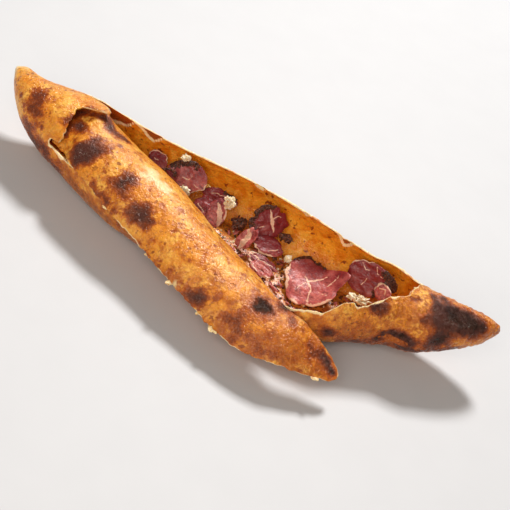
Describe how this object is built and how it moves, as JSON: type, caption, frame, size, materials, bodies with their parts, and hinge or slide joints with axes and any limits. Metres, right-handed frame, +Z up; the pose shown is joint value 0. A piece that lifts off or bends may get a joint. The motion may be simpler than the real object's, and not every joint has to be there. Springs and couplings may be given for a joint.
{
  "type": "closed pide",
  "caption": "Long boat-shaped hollow flatbread, cut open along its top, with the crust folded aside as a lid and an oily filling of cured beef slices inside.",
  "frame": {"origin": "middle of the flat spot the loaf rests on, on the surface under it", "axes": "+X from the hooded tip to the other tip, +Y away from the folded lid, +Z up"},
  "size_m": [0.4325, 0.1497, 0.0643],
  "materials": {
    "crust": "oily baked bread crust",
    "filling": "oily orange filling",
    "beef": "moist cured beef",
    "fat": "soft moist fat",
    "cheese": "melted oily cheese",
    "spice": "dark spice crust"
  },
  "bodies": {
    "root": {"bread_crust": "crust", "filling_bed": "filling", "beef_slice_small": "beef", "beef_slice_under": "beef", "beef_slice_left": "beef", "beef_slice_flap": "beef", "beef_slice_wing": "beef", "beef_slice_fold": "beef", "beef_slice_standing": "beef", "beef_slice_low": "beef", "beef_slice_large": "beef", "beef_slice_right": "beef", "beef_slice_curl": "beef", "beef_fat_fold": "beef", "beef_scrap_dark": "beef", "beef_scrap_pink": "beef", "fat_crumb_large": "fat", "fat_crumb_left": "fat", "fat_crumb_top": "fat", "fat_crumb_middle": "fat", "fat_shreds": "fat", "cheese_blob": "cheese", "spice_lump_middle": "spice", "spice_lump_right": "spice"}
  },
  "joints": []
}
